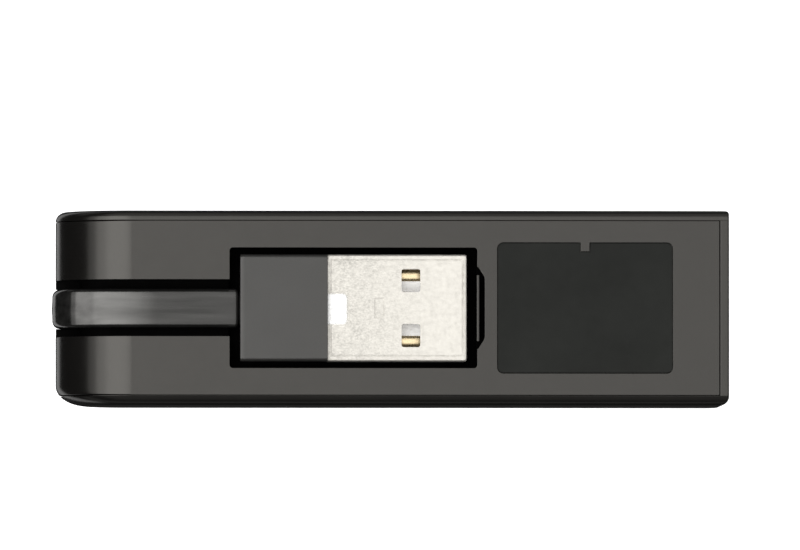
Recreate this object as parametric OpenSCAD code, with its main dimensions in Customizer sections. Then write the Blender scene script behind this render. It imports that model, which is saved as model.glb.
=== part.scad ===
// Pocket USB logic analyzer with a captive lead that wraps round its half round end.
// The stowage face is up (+Z), the smooth back face lies on z = 0, the input port is at +X.
// Places along the case are given as u, the distance from the tip of the half round end.

/* [Case] */
// Length of the case without the lead
case_l = 76; // [74:0.5:84]
// Width of the case
case_w = 22; // [21.5:0.25:24]
// Thickness of the case, twice the radius of its half round end
case_t = 17; // [17:0.25:18]
// Thickness of the cover plate and of the wall round the end
wall = 1.5; // [1.2:0.1:1.6]
// Thickness of the back shell's floor
floor_t = 1.6; // [1.2:0.1:1.7]
// Width of the back shell's rim beside the cover
rim_w = 1.1; // [1:0.05:1.3]
// Thickness of the back shell's wall at the port end
port_wall = 1; // [0.8:0.1:1.2]
// Gap of the seam between the cover and the back shell
seam = 0.1; // [0.05:0.01:0.15]
// Radius of the long edges round the back face
back_edge_r = 2; // [0.8:0.1:2.5]
// Radius of the case's corners at the port end, seen from above, on the +Y side
port_corner_r = 0.4; // [0.3:0.1:1]
// Radius of the case's corners at the half round end, seen from above, on the +Y side
end_corner_r = 1.2; // [0.8:0.1:2]
// How much larger the radius of both corners on the -Y side is
low_corner_more = 0.6; // [0:0.1:1]

/* [Lead] */
// Width of the flat lead
lead_w = 4.4; // [4:0.1:4.6]
// Thickness of the flat lead
lead_t = 2.8; // [2.4:0.1:2.9]
// How far the bent lead stands proud of the half round end
lead_proud = 0.45; // [0.3:0.05:0.6]
// Radius of the bend, at the middle of the lead
bend_r = 5.2; // [5.1:0.05:5.3]
// Gap between two neighbouring links of the lead
link_gap = 0.12; // [0.08:0.01:0.2]

/* [Stowage] */
// Width of the groove and slot that hold the lead
slot_w = 6.4; // [6:0.1:6.6]
// Place of the pocket's end towards the lead
pocket_u = 19.5; // [19.2:0.1:19.6]
// Length of the pocket for the plug
pocket_l = 28; // [27.8:0.1:28.4]
// Width of the pocket for the plug
pocket_w = 13.6; // [13:0.1:14]
// Height of the pocket's floor
pocket_floor_z = 10.8; // [10.6:0.1:10.9]
// Depth of the fingernail notch along the case
notch_l = 0.85; // [0.6:0.05:1]
// Width of the fingernail notch
notch_w = 9.3; // [8:0.1:10]
// Height of the fingernail notch's floor
notch_floor_z = 13; // [12.5:0.1:14]

/* [Label] */
// Place of the label recess
label_u = 49.75; // [49.6:0.05:50.2]
// Length of the label recess
label_l = 19.9; // [18:0.1:21]
// Width of the label recess
label_w = 14.8; // [13:0.1:15]
// Depth of the label recess
label_d = 0.3; // [0.2:0.05:0.4]
// Radius of the label recess's corners
label_r = 0.7; // [0.5:0.1:1]
// Width and depth of the key tab in the edge of the label recess
key_size = 1; // [0.8:0.1:1.2]

/* [Plug] */
// Distance from the pocket's end to the plug's overmould
overmould_gap = 1.2; // [1.1:0.05:1.3]
// Length of the overmould
overmould_l = 9.9; // [9.6:0.1:10.2]
// Width of the overmould
overmould_w = 12.3; // [12.2:0.1:12.6]
// Thickness of the overmould
overmould_t = 5.8; // [5.6:0.1:5.8]
// Width of the metal shell
plug_w = 12; // [12]
// Thickness of the metal shell
plug_t = 4.5; // [4.5]
// Length of the metal shell outside the overmould
plug_l = 15.75; // [15.5:0.05:15.9]
// Thickness of the metal shell's sheet
sheet_t = 0.3; // [0.25:0.05:0.35]
// Length of the metal shell and insulator inside the overmould
root_l = 4; // [3:0.5:5]

/* [Input port] */
// Number of pins in each of the port's two rows
pin_columns = 5; // [4:1:5]
// Distance between neighbouring pins
pin_pitch = 2.54; // [2.54]
// Thickness of a square pin
pin_t = 0.64; // [0.6:0.01:0.66]
// Length of the pins outside their block
pin_out = 6; // [5.5:0.1:6]
// Depth of the port from the end face to the pin block
port_depth = 12; // [12:0.1:12.4]
// Width of the port's opening
port_w = 13.7; // [13.5:0.1:14]
// Height of the port's opening
port_h = 6.2; // [6:0.1:6.4]
// Thickness of the port bezel's wall
bezel_t = 1; // [0.8:0.1:1]

/* [Board] */
// Thickness of the circuit board
board_t = 1.2; // [1:0.1:1.6]
// Width of the circuit board
board_w = 18.6; // [18:0.1:19]
// Place of the circuit board's end towards the lead
board_u = 14; // [13.5:0.1:15]

/* [Hidden] */

// A length that is safely longer than what it cuts, and a small overlap between joined shapes
past = 1;
bite = 0.4;

// Case
end_r = case_t / 2;
left = lead_proud - (case_l + lead_proud) / 2;
cavity_w = case_w - 2 * rim_w;
cavity_end_u = case_l - port_wall;
cover_w = cavity_w - 2 * seam;
cover_end_u = cavity_end_u - seam;
cover_lip_z = floor_t + seam;
plate_z = case_t - wall;

// Lead, whose bend turns on hinges where the tangents of its middle line meet
bend_hinges = 3;
bend_u = bend_r + lead_t / 2 - lead_proud;
exit_z = 3.6;
bend_z = exit_z + bend_r;
run_z = bend_z + bend_r;
hinge_step = 180 / bend_hinges;
hinge_r = bend_r / cos(hinge_step / 2);
tail_end_u = 13.5;

// Stowage
guide_wall = 1.2;
nose_wall = 1;
nose_r = bend_r - lead_t / 2 - 0.4;
nose_top_z = bend_z + nose_r;
nose_bottom_z = bend_z - nose_r;
cheek_end_u = 10.5;
shoulder_z = bend_z - 0.4;
shoulder_end_u = bend_u + 0.3;
shoulder_slot_w = lead_w + 0.2;
pocket_end_u = pocket_u + pocket_l;

// Plug
overmould_u = pocket_u + overmould_gap;
shell_u = overmould_u + overmould_l;
tip_u = shell_u + plug_l;
tilt_u = pocket_u + 0.5;
tilt_gap = 0.4;
heel_l = 1.2;
heel_h = 3.8;
overmould_r = 0.7;
stub_end_u = overmould_u + 3;
window_l = 2.1;
window_w = 2.6;
window_y = 3.1;
window_u = tip_u - 5.25 - window_l / 2;
lock_l = 2.1;
lock_w = 3.3;
lock_u = shell_u + 0.1 + lock_l / 2;
insulator_step_u = shell_u + 3.6;
insulator_top_z = run_z - plug_t / 2 + sheet_t + 1.85;
contact_end_u = tip_u - 1;
contact_z = insulator_top_z - 0.2;
contact_w = 1;

// Port and board
port_z = end_r;
port_u = case_l - port_depth;
lip_l = 0.4;
block_u = port_u - pin_pitch;
block_h = 2 * pin_pitch;
block_w = pin_columns * pin_pitch;
board_top_z = port_z - block_h / 2;
board_z = board_top_z - board_t;
board_end_u = port_u - 0.5;
board_holes = [[21, -7.3], [50, 7.3]];
screw_u = 54;
screw_y = 5.4;
screw_seat_z = plate_z - 0.9;
lens_u = 55.5;
lens_l = 4;
lens_w = 1.4;

$fn = 64;

// ---------- shared shapes ----------

// A box from one end to the other along the case, w wide about the middle, between two heights
module slab(u0, u1, w, z0, z1) {
    translate([left + u0, -w / 2, z0])
        cube([u1 - u0, w, z1 - z0]);
}

// A box of size s that stands on the height z, centred on (u, y)
module part_at(u, y, z, s) {
    translate([left + u - s[0] / 2, y - s[1] / 2, z])
        cube(s);
}

// A side view, drawn in u and z, made w thick about the middle of the case
module side_view(w) {
    translate([left, w / 2, 0])
        rotate([90, 0, 0])
            linear_extrude(w)
                children();
}

// A round rod along Z
module rod(u, y, z0, z1, r) {
    translate([left + u, y, z0])
        cylinder(h = z1 - z0, r = r);
}

// Rectangle from (0, 0) whose corners are round
module round_rect(l, w, r) {
    translate([r, 0])
        square([l - 2 * r, w]);
    translate([0, r])
        square([l, w - 2 * r]);
    for (x = [r, l - r], y = [r, w - r])
        translate([x, y])
            circle(r);
}

// Side view of the case, made smaller by inset all round
module case_profile(inset) {
    translate([end_r, end_r])
        circle(end_r - inset, $fn = 128);
    translate([end_r, inset])
        square([case_l - end_r - inset, case_t - 2 * inset]);
}

// Outline of the case from above, whose four corners have their own radii
module case_outline() {
    radii = [end_corner_r + low_corner_more, port_corner_r + low_corner_more, port_corner_r, end_corner_r];
    places = [[0, 0], [1, 0], [1, 1], [0, 1]];
    difference() {
        square([case_l, case_w]);
        for (i = [0:3])
            translate([places[i][0] * case_l, places[i][1] * case_w])
                rotate(90 * i)
                    corner_cut(radii[i]);
    }
}

// What a square corner at (0, 0) loses when it is rounded
module corner_cut(r) {
    difference() {
        translate([-past, -past])
            square(r + past);
        translate([r, r])
            circle(r);
    }
}

// Section across the case, with round edges at the back face only
module case_section() {
    round_rect(case_t * 3 / 4, case_w, back_edge_r);
    translate([case_t / 2, 0])
        square([case_t / 2, case_w]);
}

// Outer form of the closed case
module case_solid() {
    intersection() {
        side_view(case_w)
            case_profile(0);
        translate([left, -case_w / 2, 0])
            linear_extrude(case_t)
                case_outline();
        translate([left - past, -case_w / 2, 0])
            rotate([0, 90, 0])
                mirror([1, 0, 0])
                    linear_extrude(case_l + 2 * past)
                        case_section();
    }
}

// ---------- case ----------

module back_shell() {
    color([0.13, 0.125, 0.12])
        difference() {
            union() {
                difference() {
                    case_solid();
                    slab(-past, cavity_end_u, cavity_w, floor_t, case_t + past);
                }
                for (s = [-1, 1])
                    rod(screw_u, s * screw_y, floor_t - bite, plate_z - 2.6, 1.9);
                for (h = board_holes)
                    rod(h[0], h[1], floor_t - bite, board_z, 1.6);
            }
            slab(cavity_end_u - past, case_l + past, port_w + 2 * bezel_t, port_z - port_h / 2 - bezel_t,
                port_z + port_h / 2 + bezel_t);
            slab(lens_u, lens_u + lens_l, lens_w, -past, floor_t + past);
            for (s = [-1, 1])
                rod(screw_u, s * screw_y, 5, plate_z, 0.8);
            for (h = board_holes)
                rod(h[0], h[1], 2.2, board_z + past, 0.6);
        }
}

// Plate and wall round the half round end, in one thickness
module cover_skin() {
    intersection() {
        case_solid();
        slab(-past, cover_end_u, cover_w, cover_lip_z, case_t + past);
        side_view(cover_w)
            difference() {
                square([case_l, case_t]);
                case_profile(wall);
                translate([end_r, -past])
                    square([case_l, plate_z + past]);
            }
    }
}

// Walls on both sides of the groove in the half round end. Below their shoulders the groove is
// only just wider than the lead.
module cheeks() {
    w = slot_w + 2 * guide_wall;
    intersection() {
        case_solid();
        slab(0, cheek_end_u, w, cover_lip_z, case_t);
    }
}

// Hollow nose that the lead bends round, with the slot's floor behind it
module lead_nose() {
    side_view(slot_w + bite)
        difference() {
            union() {
                translate([bend_u, bend_z])
                    circle(nose_r);
                translate([bend_u, nose_bottom_z])
                    square([cheek_end_u - bend_u, 2 * nose_r]);
            }
            translate([bend_u, bend_z])
                circle(nose_r - nose_wall);
            translate([bend_u, nose_bottom_z + nose_wall])
                square([case_l, 2 * (nose_r - nose_wall)]);
        }
}

module label_outline(gap) {
    difference() {
        translate([gap, gap])
            round_rect(label_l - 2 * gap, label_w - 2 * gap, label_r);
        translate([label_l / 2 - key_size / 2 - gap, label_w - key_size - gap])
            square([key_size + 2 * gap, key_size + past]);
    }
}

module label_solid(gap, z0, z1) {
    translate([left + label_u, -label_w / 2, z0])
        linear_extrude(z1 - z0)
            label_outline(gap);
}

module stowage_cover() {
    pocket_tub_w = pocket_w + 2 * guide_wall;
    color([0.34, 0.33, 0.31]) {
        difference() {
            union() {
                cover_skin();
                cheeks();
                slab(bend_u, pocket_u + bite, slot_w + 2 * guide_wall, nose_top_z - nose_wall, plate_z + bite);
                slab(pocket_u - guide_wall, pocket_end_u + notch_l + guide_wall, pocket_tub_w,
                    pocket_floor_z - guide_wall, plate_z + bite);
                for (s = [-1, 1])
                    rod(screw_u, s * screw_y, plate_z - 2.5, plate_z + bite, 2.4);
            }
            slab(-past, cheek_end_u + past, slot_w, shoulder_z, case_t + past);
            slab(-past, shoulder_end_u, shoulder_slot_w, 0, shoulder_z + past);
            slab(shoulder_end_u, cheek_end_u + past, slot_w, 0, shoulder_z + past);
            slab(cheek_end_u, pocket_u + past, slot_w, nose_top_z, case_t + past);
            slab(pocket_u, pocket_end_u, pocket_w, pocket_floor_z, case_t + past);
            slab(pocket_end_u - past, pocket_end_u + notch_l, notch_w, notch_floor_z, case_t + past);
            label_solid(0, case_t - label_d, case_t + past);
            for (s = [-1, 1]) {
                rod(screw_u, s * screw_y, plate_z - 3, case_t, 1);
                rod(screw_u, s * screw_y, screw_seat_z, case_t, 1.7);
            }
        }
        lead_nose();
    }
}

module nameplate() {
    color([0.18, 0.18, 0.17])
        label_solid(0.08, case_t - label_d, case_t - label_d / 3);
}

// Two pan head screws that hold the cover down, under the nameplate
module case_screws() {
    color("silver")
        for (s = [-1, 1])
            difference() {
                union() {
                    rod(screw_u, s * screw_y, 6, screw_seat_z, 0.78);
                    rod(screw_u, s * screw_y, screw_seat_z, plate_z + 0.3, 1.55);
                }
                part_at(screw_u, s * screw_y, plate_z - 0.3, [2, 0.4, past]);
                part_at(screw_u, s * screw_y, plate_z - 0.3, [0.4, 2, past]);
            }
}

// Square tube that lines the port, with a lip round the front of the pin block
module port_bezel() {
    color([0.1, 0.1, 0.1])
        difference() {
            slab(port_u - lip_l, case_l - 0.05, port_w + 2 * (bezel_t - seam),
                port_z - port_h / 2 - bezel_t + seam, port_z + port_h / 2 + bezel_t - seam);
            slab(port_u, case_l + past, port_w, port_z - port_h / 2, port_z + port_h / 2);
            slab(port_u - past, port_u + past, block_w + seam, port_z - (block_h + seam) / 2,
                port_z + (block_h + seam) / 2);
        }
}

module status_lens() {
    color([0.85, 0.88, 0.85, 0.7])
        slab(lens_u + 0.05, lens_u + lens_l - 0.05, lens_w - 0.1, 0.05, floor_t + 1);
}

// ---------- board ----------

module main_board() {
    color([0.05, 0.3, 0.15])
        difference() {
            slab(board_u, board_end_u, board_w, board_z, board_top_z);
            for (s = [-1, 1])
                rod(screw_u, s * screw_y, board_z - past, board_top_z + past, 2.1);
            for (h = board_holes)
                rod(h[0], h[1], board_z - past, board_top_z + past, 0.9);
        }
}

module board_screws() {
    color("silver")
        for (h = board_holes) {
            rod(h[0], h[1], 3, board_top_z, 0.58);
            rod(h[0], h[1], board_top_z, board_top_z + 0.9, 1.3);
        }
}

// A black package of size s with leads along its two long sides
module chip(u, y, s, leads) {
    part_at(u, y, board_top_z + 0.1, s);
    for (i = [0:leads - 1], d = [-1, 1])
        part_at(u + (i - (leads - 1) / 2) * s[0] / leads, y + d * (s[1] / 2 + 0.3), board_top_z,
            [0.3, 0.8, 0.4]);
}

module usb_controller() {
    color([0.12, 0.12, 0.13])
        chip(32.5, 0, [8, 8, 1.2], 12);
}

module input_buffers() {
    color([0.12, 0.12, 0.13])
        for (u = [45.5, 54])
            chip(u, 0, [6, 4.4, 1], 9);
}

module memory_chip() {
    color([0.12, 0.12, 0.13])
        chip(24.5, -3.5, [4.8, 3.8, 1.3], 4);
}

module crystal() {
    color("silver")
        part_at(39.6, -5.5, board_top_z, [5, 3.2, 1.1]);
}

module voltage_regulator() {
    color([0.12, 0.12, 0.13])
        chip(19.5, 2.5, [2.9, 1.6, 1.1], 3);
}

module capacitors() {
    color([0.62, 0.5, 0.36])
        for (u = [24, 27, 39], y = [4.4, 6.6])
            part_at(u, y, board_top_z, [1.6, 0.8, 0.8]);
}

module resistors() {
    color([0.1, 0.1, 0.11])
        for (i = [0:3], y = [-7.6, -6])
            part_at(44.5 + i * 1.8, y, board_top_z, [1, 0.5, 0.35]);
}

module status_led() {
    color([0.95, 0.93, 0.8])
        part_at(lens_u + lens_l / 2, 0, board_z - 0.7, [1.6, 0.8, 0.7]);
}

// ---------- input port ----------

module pin_block() {
    color([0.08, 0.08, 0.08])
        difference() {
            slab(block_u, block_u + pin_pitch, block_w, board_top_z, board_top_z + block_h);
            pin_places()
                slab(block_u - past, block_u + pin_pitch + past, pin_t, -pin_t / 2, pin_t / 2);
        }
}

// Puts its children at each pin's place across the port
module pin_places() {
    for (i = [0:pin_columns - 1], row = [-1, 1])
        translate([0, (i - (pin_columns - 1) / 2) * pin_pitch, port_z + row * pin_pitch / 2])
            children();
}

// Square pins, each bent down to the board behind the block
module input_pins() {
    color([0.85, 0.68, 0.3])
        for (i = [0:pin_columns - 1], row = [-1, 1]) {
            z = port_z + row * pin_pitch / 2;
            foot_u = block_u - 1.5 - (row + 1) * 0.9;
            translate([0, (i - (pin_columns - 1) / 2) * pin_pitch, 0]) {
                slab(foot_u, block_u + pin_pitch + pin_out, pin_t, z - pin_t / 2, z + pin_t / 2);
                slab(foot_u, foot_u + pin_t, pin_t, board_top_z, z);
            }
        }
}

// ---------- lead ----------

module lead_grommet() {
    color([0.1, 0.1, 0.1])
        difference() {
            union() {
                slab(bend_u + 0.45, cheek_end_u + bite, slot_w - 0.2, cover_lip_z, nose_bottom_z - seam);
                slab(cheek_end_u + seam, cheek_end_u + 1.3, slot_w + 2, cover_lip_z, nose_bottom_z + 0.8);
            }
            slab(0, case_l, lead_w, exit_z - lead_t / 2, exit_z + lead_t / 2);
        }
}

// Side view of the whole bend, about its centre
module bend_ring() {
    difference() {
        circle(bend_r + lead_t / 2);
        circle(bend_r - lead_t / 2);
        translate([0, -case_t])
            square([case_t, 2 * case_t]);
    }
}

// All that lies before (side 1) or beyond (side -1) hinge n, counted from the exit. The face at
// the hinge is radial, and is cut back outside the hinge so that the bend can straighten.
module hinge_side(n, side) {
    g = link_gap / 2;
    places = [
        [g, hinge_r],
        [g, 0],
        [g + lead_t * tan(hinge_step / 2), -lead_t],
        [case_t, -lead_t],
        [case_t, hinge_r]
    ];
    rotate(-hinge_step * (n - 0.5))
        translate([0, -hinge_r])
            polygon([for (p = places) [side * p[0], p[1]]]);
}

// Puts a side view about the bend's centre in its place, made as wide as the lead
module lead_piece() {
    color([0.25, 0.25, 0.25])
        side_view(lead_w)
            translate([bend_u, bend_z])
                children();
}

// The stretch of the bend between hinge n and the next one
module lead_link(n) {
    lead_piece()
        intersection() {
            bend_ring();
            hinge_side(n, -1);
            hinge_side(n + 1, 1);
        }
}

module lead_link_1() {
    lead_link(1);
}

module lead_link_2() {
    lead_link(2);
}

// The lead from the last hinge to the gap that lets the plug tilt
module lead_run() {
    lead_piece() {
        intersection() {
            bend_ring();
            hinge_side(bend_hinges, -1);
        }
        translate([0, bend_r - lead_t / 2])
            square([tilt_u - tilt_gap / 2 - bend_u, lead_t]);
    }
}

// The fixed end of the lead, from inside the case to the first hinge
module lead_tail() {
    lead_piece() {
        intersection() {
            bend_ring();
            hinge_side(1, 1);
        }
        translate([0, -bend_r - lead_t / 2])
            square([tail_end_u - bend_u, lead_t]);
    }
}

module lead_wires() {
    wire_r = 0.4;
    color([0.7, 0.2, 0.15])
        for (i = [0:3]) {
            y = (i - 1.5) * 1.05;
            translate([left + tail_end_u, y, exit_z])
                rotate([0, 90, 0])
                    cylinder(h = 2 + wire_r, r = wire_r);
            rod(tail_end_u + 2, y, exit_z, board_z, wire_r);
        }
}

// ---------- plug ----------

// The lead's last stretch, moulded into the plug
module plug_stub() {
    color([0.25, 0.25, 0.25])
        slab(tilt_u + tilt_gap / 2, stub_end_u, lead_w, run_z - lead_t / 2, run_z + lead_t / 2);
}

// Section across the overmould, drawn in z and y about its middle
module overmould_section() {
    translate([-overmould_t / 2, -overmould_w / 2])
        round_rect(overmould_t, overmould_w, overmould_r);
}

module plug_overmould() {
    low_z = run_z - overmould_t / 2;
    color([0.2, 0.2, 0.2])
        difference() {
            intersection() {
                translate([left + overmould_u, 0, run_z])
                    rotate([0, 90, 0])
                        linear_extrude(overmould_l)
                            overmould_section();
                side_view(overmould_w)
                    polygon([
                        [overmould_u, low_z + heel_h],
                        [overmould_u + heel_l, low_z],
                        [shell_u, low_z],
                        [shell_u, low_z + overmould_t],
                        [overmould_u, low_z + overmould_t]
                    ]);
            }
            slab(overmould_u - past, stub_end_u, lead_w, run_z - lead_t / 2, run_z + lead_t / 2);
            slab(shell_u - root_l, shell_u + past, plug_w, run_z - plug_t / 2, run_z + plug_t / 2);
        }
}

module plug_shell() {
    color([0.9, 0.89, 0.86])
        difference() {
            slab(shell_u - root_l, tip_u, plug_w, run_z - plug_t / 2, run_z + plug_t / 2);
            slab(shell_u - root_l - past, tip_u + past, plug_w - 2 * sheet_t,
                run_z - plug_t / 2 + sheet_t, run_z + plug_t / 2 - sheet_t);
            for (s = [-1, 1])
                part_at(window_u, s * window_y, run_z - plug_t, [window_l, window_w, 2 * plug_t]);
            part_at(lock_u, 0, run_z, [lock_l, lock_w, plug_t]);
        }
}

module plug_insulator() {
    color([0.85, 0.85, 0.82])
        difference() {
            union() {
                slab(shell_u - root_l, tip_u - 0.4, plug_w - 2 * sheet_t,
                    run_z - plug_t / 2 + sheet_t, insulator_top_z);
                slab(shell_u - root_l, insulator_step_u, plug_w - 2 * sheet_t,
                    run_z - plug_t / 2 + sheet_t, run_z + plug_t / 2 - sheet_t);
            }
            contact_places()
                slab(insulator_step_u, contact_end_u, contact_w, contact_z, insulator_top_z + past);
        }
}

// Puts its children at each of the four contacts' places across the plug
module contact_places() {
    for (y = [-3.5, -1, 1, 3.5])
        translate([0, y, 0])
            children();
}

module plug_contacts() {
    color([0.87, 0.7, 0.32])
        contact_places()
            slab(insulator_step_u, contact_end_u, contact_w, contact_z, insulator_top_z + 0.05);
}

back_shell();
stowage_cover();
nameplate();
case_screws();
port_bezel();
status_lens();
main_board();
board_screws();
usb_controller();
input_buffers();
memory_chip();
crystal();
voltage_regulator();
capacitors();
resistors();
status_led();
pin_block();
input_pins();
lead_grommet();
lead_tail();
lead_wires();
lead_link_1();
lead_link_2();
lead_run();
plug_stub();
plug_overmould();
plug_shell();
plug_insulator();
plug_contacts();
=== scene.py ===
"""Looks of the pocket USB logic analyzer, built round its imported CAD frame.

Shapes are worked out in millimetres. Places along the case are u, the distance from the tip of
its half round end, y is across the case and z is the height above the back face.
"""

import math

import bmesh
import bpy
from mathutils import Euler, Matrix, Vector


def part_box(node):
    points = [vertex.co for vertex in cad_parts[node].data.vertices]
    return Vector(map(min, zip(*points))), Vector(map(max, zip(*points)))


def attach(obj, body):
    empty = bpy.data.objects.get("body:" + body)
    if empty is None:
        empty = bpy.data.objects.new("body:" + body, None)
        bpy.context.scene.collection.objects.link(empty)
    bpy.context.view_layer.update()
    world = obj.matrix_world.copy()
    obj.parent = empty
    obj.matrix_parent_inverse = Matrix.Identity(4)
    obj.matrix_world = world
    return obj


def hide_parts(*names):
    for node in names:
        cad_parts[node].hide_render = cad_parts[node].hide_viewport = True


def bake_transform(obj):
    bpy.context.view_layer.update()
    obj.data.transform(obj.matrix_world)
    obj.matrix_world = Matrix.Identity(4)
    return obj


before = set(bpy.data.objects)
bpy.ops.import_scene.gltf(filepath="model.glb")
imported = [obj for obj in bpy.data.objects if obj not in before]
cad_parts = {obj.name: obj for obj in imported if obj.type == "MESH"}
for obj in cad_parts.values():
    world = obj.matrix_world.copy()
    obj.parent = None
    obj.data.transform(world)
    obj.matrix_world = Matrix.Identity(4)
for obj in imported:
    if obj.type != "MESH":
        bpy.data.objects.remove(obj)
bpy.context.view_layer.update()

MM = 0.001
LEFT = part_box("back_shell")[0].x / MM
CASE_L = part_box("back_shell")[1].x / MM - LEFT
CASE_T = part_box("back_shell")[1].z / MM
HALF_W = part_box("back_shell")[1].y / MM
END_R = CASE_T / 2

# The case, its cover and the openings in the cover, as in part.scad
RIM_W = 1.1
PORT_WALL = 1
SEAM = 0.1
WALL = 1.5
FLOOR_T = 1.6
COVER_END_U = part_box("stowage_cover")[1].x / MM - LEFT
SLOT_HALF_W = 3.2
SLOT_DEPTH = 4.8
CHEEK_END_U = 10.5
GUIDE_WALL = 1.2
POCKET_U = (19.5, 47.5)
POCKET_HALF_W = 6.8
POCKET_DEPTH = 6.2
NOTCH_DEPTH = 4
LABEL_U = (49.75, 69.65)
LABEL_HALF_W = 7.4
LABEL_DEPTH = 0.3
LABEL_R = 0.7
KEY_SIZE = 1.0

# The seam that is seen beside the straight part of the cover, narrower than in part.scad
SEAM_SHOWN = 0.04

# The lead's bend and the nose that it goes round, as in part.scad
LEAD_HALF_W = 2.2
LEAD_HALF_T = 1.4
BEND_R = 5.2
BEND_U = 6.15
BEND_Z = 8.8
RUN_Z = BEND_Z + BEND_R
EXIT_Z = BEND_Z - BEND_R
TAIL_END_U = 13.5
NOSE_R = 3.4
NOSE_WALL = 1

# Where the straight lead starts to flex, and where its jacket ends
FLEX_U = 18.4
JACKET_END_U = 20.5

# The plug. The widths are as they look in the photo, within 0.2 mm of those in part.scad.
OVERMOULD_U = (20.7, 30.6)
OVERMOULD_HALF_W = 6.06
OVERMOULD_HALF_T = 2.9
HEEL_L = 1.2
HEEL_H = 3.8
SHELL_U = 30.6
ROOT_U = SHELL_U - 4
TIP_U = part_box("plug_shell")[1].x / MM - LEFT
PLUG_HALF_W = 6.05
PLUG_HALF_T = 2.25
SHEET_T = 0.3
SHELL_TOP = RUN_Z + PLUG_HALF_T
SHELL_INSIDE = (RUN_Z - PLUG_HALF_T + SHEET_T, SHELL_TOP - SHEET_T)
TONGUE_TOP = SHELL_INSIDE[0] + 1.85

# Windows, dimple, lock window and frame-shaped groove of the plug's shell, and (place across, half
# width) of each contact
WINDOW_U = (38.96, 41.08)
WINDOW_Y = (1.8, 4.42)
DIMPLE_U = (35.9, 37.0)
DIMPLE_HALF_W = 1.15
DIMPLE_DEPTH = 0.22
LOCK_U = (30.3, 32.85)
LOCK_Y = (-1.9, 1.65)
FRAME_HALF_W = 5.52
CONTACTS = ((-3.76, 0.65), (-1, 0.54), (1, 0.54), (3.76, 0.65))

# The input port with its two rows of pins, and the status light, as in part.scad
PORT_Z = 8.5
PORT_HALF_W = 6.85
PORT_HALF_H = 3.1
PORT_U = 64
BEZEL_T = 1.0
PIN_PITCH = 2.54
PIN_COLUMNS = 5
PIN_HALF_T = 0.32
PIN_OUT = 6
LENS_U = (55.5, 59.5)
LENS_HALF_W = 0.7

scene = bpy.context.scene


# ---------- small tools ----------


def place(u, y, z):
    """A point given along the case, in metres in the shared frame."""
    return ((LEFT + u) * MM, y * MM, z * MM)


def smooth_step(t):
    """Goes smoothly from 0 to 1 while t does, and stays there."""
    t = max(0.0, min(1.0, t))
    return t * t * (3 - 2 * t)


def new_mesh(name, verts, faces):
    """Mesh of points and faces."""
    mesh = bpy.data.meshes.new(name)
    mesh.from_pydata(verts, [], faces)
    mesh.validate()
    return mesh


def tidy(mesh, merge=1e-4):
    """Merges doubled points, drops faces without area and turns all faces outwards."""
    bm = bmesh.new()
    bm.from_mesh(mesh)
    bmesh.ops.remove_doubles(bm, verts=bm.verts, dist=merge)
    bmesh.ops.dissolve_degenerate(bm, edges=bm.edges, dist=merge / 10)
    bmesh.ops.recalc_face_normals(bm, faces=bm.faces)
    bm.to_mesh(mesh)
    bm.free()
    return mesh


def loft(rings, endless=False):
    """Points and faces of a skin through rings that have the same number of points.

    A face closes each end, or an endless skin goes on from its last ring to its first.
    """
    n = len(rings[0])
    verts = [p for ring in rings for p in ring]
    faces = []
    for i in range(len(rings) if endless else len(rings) - 1):
        a, b = i * n, ((i + 1) % len(rings)) * n
        for j in range(n):
            k = (j + 1) % n
            faces.append((a + j, a + k, b + k, b + j))
    if not endless:
        faces.append(tuple(range(n)))
        faces.append(tuple(range((len(rings) - 1) * n, len(rings) * n)))
    return verts, faces


def joined(name, skins):
    """One mesh of several skins, each given as points and faces."""
    verts, faces = [], []
    for points, sides in skins:
        faces += [tuple(i + len(verts) for i in side) for side in sides]
        verts += points
    return new_mesh(name, verts, faces)


def arc(cx, cy, r, a0, a1, steps):
    """Points on an arc, both ends included, with angles in degrees."""
    out = []
    for i in range(steps + 1):
        a = math.radians(a0 + (a1 - a0) * i / steps)
        out.append((cx + r * math.cos(a), cy + r * math.sin(a)))
    return out


def rounded(x0, x1, y0, y1, r, steps=6):
    """Outline of a rectangle with round corners, from its lower right, anticlockwise."""
    return (
        arc(x1 - r, y0 + r, r, -90, 0, steps)
        + arc(x1 - r, y1 - r, r, 0, 90, steps)
        + arc(x0 + r, y1 - r, r, 90, 180, steps)
        + arc(x0 + r, y0 + r, r, 180, 270, steps)
    )


def mirrored(side):
    """Outline whose half at +Y is given as points (u, y)."""
    return [(u, -y) for u, y in side] + [(u, y) for u, y in reversed(side)]


def prism(outline, z0, z1):
    """Mesh of an outline in u and y, from height z0 to z1."""
    return new_mesh("prism", *loft([[(u, y, z) for u, y in outline] for z in (z0, z1)]))


def along_u(outline, u0, u1):
    """Mesh of an outline in y and z, from u0 to u1."""
    return new_mesh("along_u", *loft([[(u, y, z) for y, z in outline] for u in (u0, u1)]))


def crosswise(section, y0, y1):
    """Points and faces of a section in u and z, from y0 to y1."""
    return loft([[(u, y, z) for u, z in section] for y in (y0, y1)])


def box_mesh(u0, u1, y0, y1, z0, z1, r=None, steps=5):
    """A box whose edges along z are round if r is given."""
    square = [(u0, y0), (u1, y0), (u1, y1), (u0, y1)]
    return prism(rounded(u0, u1, y0, y1, r, steps) if r else square, z0, z1)


def evaluated(mesh, add_modifiers):
    """The mesh that a plain object gives with the modifiers that add_modifiers puts on it."""
    obj = bpy.data.objects.new("working", mesh)
    scene.collection.objects.link(obj)
    add_modifiers(obj)
    bpy.context.view_layer.update()
    graph = bpy.context.evaluated_depsgraph_get()
    made = bpy.data.meshes.new_from_object(obj.evaluated_get(graph))
    bpy.data.objects.remove(obj)
    return made


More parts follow.
